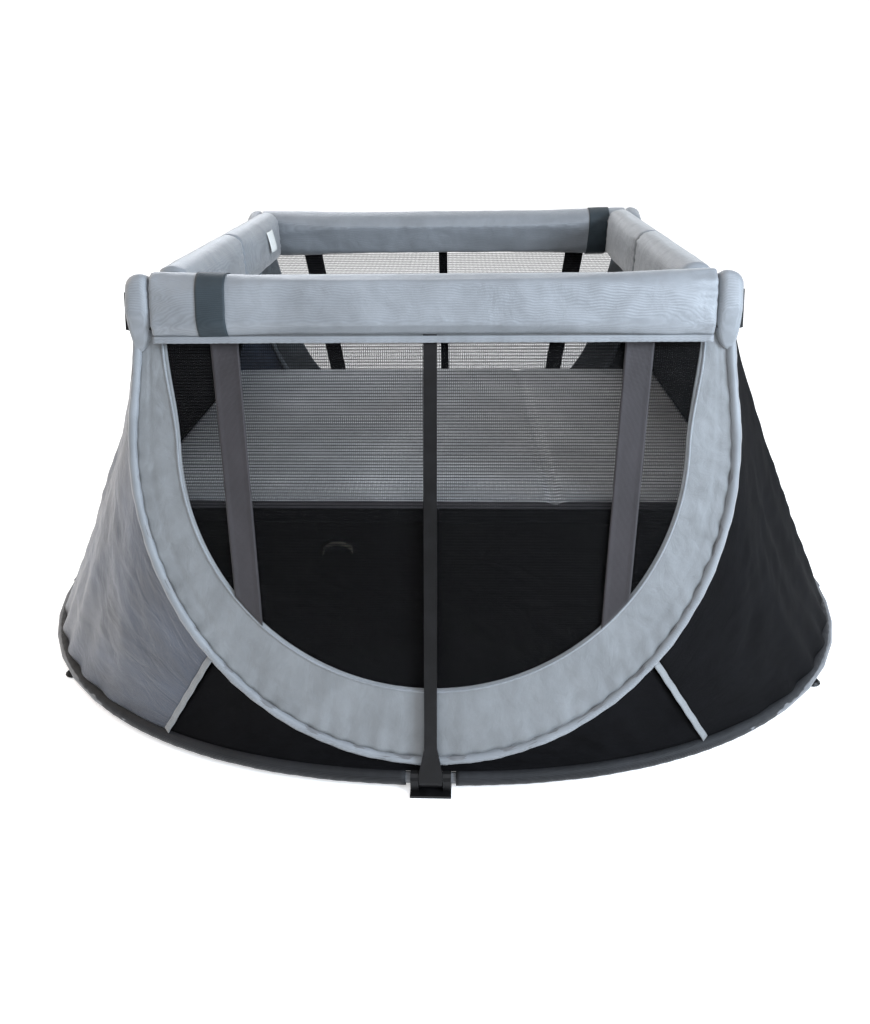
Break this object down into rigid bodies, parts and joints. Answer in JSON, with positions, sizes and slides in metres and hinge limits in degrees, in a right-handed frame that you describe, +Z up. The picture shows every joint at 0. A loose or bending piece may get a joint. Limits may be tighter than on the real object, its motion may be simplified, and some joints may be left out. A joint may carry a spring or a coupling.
{
  "type": "folding playpen",
  "caption": "Oval-based folding playpen with leaning arched mesh walls, padded top rails, cloth ends and a raised mattress.",
  "frame": {"origin": "on the ground under the middle of the base ring", "axes": "+X along the long side of the base to the right, +Y to the back, +Z up"},
  "size_m": [1.4224, 1.0912, 0.6492],
  "materials": {
    "satin_grey": "light grey satin weave, soft sheen",
    "satin_blue_grey": "pale blue-grey satin weave, creased",
    "black_cloth": "matt black plain weave",
    "black_mesh": "fine black knitted mesh, see-through",
    "dark_grey_webbing": "dark grey woven tape",
    "slate_label": "slate woven band, plain",
    "mattress_knit": "grey spacer knit with small holes",
    "cream_webbing": "cream cotton tape",
    "black_plastic": "black moulded nylon",
    "grey_steel": "grey powder coat",
    "pin_steel": "plain steel pin"
  },
  "bodies": {
    "back_foot": {"back_foot": "black_plastic", "mattress_tray": "black_cloth", "left_tray_sling": "black_cloth", "right_tray_sling": "black_cloth", "left_end_panel": "satin_blue_grey", "right_end_panel": "black_cloth"},
    "back_ring": {"back_ring_tube": "grey_steel", "back_left_ring_sleeve": "dark_grey_webbing", "back_right_ring_sleeve": "dark_grey_webbing", "back_left_ring_foot": "black_plastic", "back_right_ring_foot": "black_plastic", "left_ring_pin": "pin_steel", "right_ring_pin": "pin_steel", "floor_sheet": "black_cloth", "floor_pull_loop": "cream_webbing"},
    "front_ring": {"front_ring_tube": "grey_steel", "front_left_ring_sleeve": "dark_grey_webbing", "front_right_ring_sleeve": "dark_grey_webbing", "front_left_ring_foot": "black_plastic", "front_right_ring_foot": "black_plastic"},
    "front_foot": {"front_foot": "black_plastic"},
    "back_wall": {"back_top_tube": "grey_steel", "back_arch_rod": "grey_steel", "back_rail_cover": "satin_grey", "back_pole": "black_plastic", "back_pole_bracket": "black_plastic", "back_arch_band": "satin_grey", "back_mesh_window": "black_mesh", "back_rail_label": "slate_label", "back_left_corner": "black_plastic", "back_right_corner": "black_plastic", "back_left_strap": "dark_grey_webbing", "back_right_strap": "dark_grey_webbing", "back_lower_wall": "black_cloth"},
    "front_wall": {"front_top_tube": "grey_steel", "front_arch_rod": "grey_steel", "front_rail_cover": "satin_grey", "front_pole": "black_plastic", "front_pole_bracket": "black_plastic", "front_arch_band": "satin_grey", "front_mesh_window": "black_mesh", "front_rail_label": "slate_label", "front_left_corner": "black_plastic", "front_right_corner": "black_plastic", "front_left_strap": "dark_grey_webbing", "front_right_strap": "dark_grey_webbing", "front_lower_wall": "black_cloth"},
    "left_back_rail": {"left_back_side_tube": "grey_steel", "left_rail_pin": "pin_steel", "left_rail_cover": "satin_grey"},
    "left_front_rail": {"left_front_side_tube": "grey_steel"},
    "right_back_rail": {"right_back_side_tube": "grey_steel", "right_rail_pin": "pin_steel", "right_rail_cover": "satin_grey"},
    "right_front_rail": {"right_front_side_tube": "grey_steel"},
    "mattress": {"mattress": "mattress_knit"}
  },
  "joints": [
    {"name": "base_fold", "type": "hinge", "parent": "back_foot", "child": "back_ring", "pos_m": [0, 0.5246, 0.017], "axis": [-1, 0, 0], "range_deg": [0, 78], "deforming": ["floor_sheet", "mattress", "mattress_tray", "left_tray_sling", "right_tray_sling", "left_end_panel", "right_end_panel", "front_lower_wall", "back_lower_wall", "left_rail_cover", "right_rail_cover"]},
    {"name": "centre_fold", "type": "hinge", "parent": "back_ring", "child": "front_ring", "pos_m": [0, 0, 0.017], "axis": [1, 0, 0], "range_deg": [0, 156.02]},
    {"name": "front_foot_fold", "type": "hinge", "parent": "front_ring", "child": "front_foot", "pos_m": [0, -0.5246, 0.017], "axis": [-1, 0, 0], "range_deg": [0, 78.02]},
    {"name": "back_wall_fold", "type": "hinge", "parent": "back_foot", "child": "back_wall", "pos_m": [0, 0.5246, 0.017], "axis": [-1, 0, 0], "range_deg": [0, 20.43]},
    {"name": "front_wall_fold", "type": "hinge", "parent": "front_ring", "child": "front_wall", "pos_m": [0, -0.5246, 0.017], "axis": [-1, 0, 0], "range_deg": [0, 57.6]},
    {"name": "left_back_rail_fold", "type": "hinge", "parent": "back_wall", "child": "left_back_rail", "pos_m": [-0.335, 0.269, 0.607], "axis": [1, 0, 0], "range_deg": [0, 94.17]},
    {"name": "left_front_rail_fold", "type": "hinge", "parent": "left_back_rail", "child": "left_front_rail", "pos_m": [-0.335, 0, 0.607], "axis": [-1, 0, 0], "range_deg": [0, 147.49]},
    {"name": "right_back_rail_fold", "type": "hinge", "parent": "back_wall", "child": "right_back_rail", "pos_m": [0.335, 0.269, 0.607], "axis": [1, 0, 0], "range_deg": [0, 94.17]},
    {"name": "right_front_rail_fold", "type": "hinge", "parent": "right_back_rail", "child": "right_front_rail", "pos_m": [0.335, 0, 0.607], "axis": [-1, 0, 0], "range_deg": [0, 147.49]},
    {"name": "mattress_lift", "type": "slide", "parent": "back_foot", "child": "mattress", "axis": [0, 0, 1], "range_m": [0, 0.42]}
  ],
  "couplings": [
    {"joint": "centre_fold", "follows": "base_fold", "ratio": 2},
    {"joint": "front_foot_fold", "follows": "base_fold", "ratio": 1},
    {"joint": "back_wall_fold", "follows": "base_fold", "ratio": 0.26174},
    {"joint": "front_wall_fold", "follows": "base_fold", "ratio": 0.73826},
    {"joint": "left_back_rail_fold", "follows": "base_fold", "ratio": 1.2071},
    {"joint": "left_front_rail_fold", "follows": "base_fold", "ratio": 1.8907},
    {"joint": "right_back_rail_fold", "follows": "base_fold", "ratio": 1.2071},
    {"joint": "right_front_rail_fold", "follows": "base_fold", "ratio": 1.8907}
  ]
}
